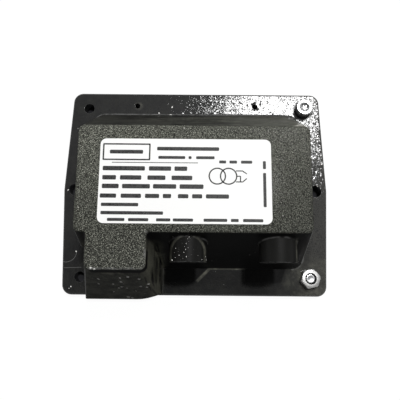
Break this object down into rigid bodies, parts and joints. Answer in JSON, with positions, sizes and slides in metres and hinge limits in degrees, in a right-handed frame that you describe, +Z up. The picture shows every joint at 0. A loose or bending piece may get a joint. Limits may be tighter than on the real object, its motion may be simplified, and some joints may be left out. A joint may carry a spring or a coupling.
{
  "type": "ignition transformer",
  "caption": "Resin-filled ignition transformer: a drafted moulded hood on a drilled flange, with a primary connector block and high-voltage outlet tubes at the front.",
  "frame": {"origin": "middle of the flange's underside", "axes": "+Z up through the hood, +X along the long side, so that the connector block is at -X, and +Y to the rear, away from the outlets"},
  "size_m": [0.1104, 0.0878, 0.0437],
  "materials": {
    "housing_plastic": "spark-eroded top, smooth glossy flange",
    "resin": "cast, satin",
    "label_film": "printed film, satin",
    "core_steel": "electrical sheet, satin",
    "pressboard": "matte pressboard",
    "bobbin_plastic": "natural nylon, satin",
    "copper_wire": "enamelled copper wire",
    "contact_brass": "turned",
    "hv_insulation": "silicone, satin",
    "carrier_plastic": "moulded, satin",
    "blade_tin": "tinned brass",
    "line_insulation": "satin",
    "earth_insulation": "satin",
    "neutral_insulation": "satin",
    "zinc_steel": "bright zinc plate"
  },
  "bodies": {
    "root": {"housing": "housing_plastic", "potting_resin": "resin", "label": "label_film", "i_core": "core_steel", "u_core": "core_steel", "magnetic_shunt": "core_steel", "shunt_spacer": "pressboard", "primary_bobbin": "bobbin_plastic", "primary_winding": "copper_wire", "left_secondary_bobbin": "bobbin_plastic", "left_secondary_winding": "copper_wire", "right_secondary_bobbin": "bobbin_plastic", "right_secondary_winding": "copper_wire", "left_hv_contact": "contact_brass", "right_hv_contact": "contact_brass", "left_hv_lead": "hv_insulation", "right_hv_lead": "hv_insulation", "blade_carrier": "carrier_plastic", "line_blade": "blade_tin", "earth_blade": "blade_tin", "neutral_blade": "blade_tin", "line_lead": "line_insulation", "earth_lead": "earth_insulation", "neutral_lead": "neutral_insulation", "cap_screw": "zinc_steel", "countersunk_bolt": "zinc_steel", "hex_nut": "zinc_steel"}
  },
  "joints": []
}
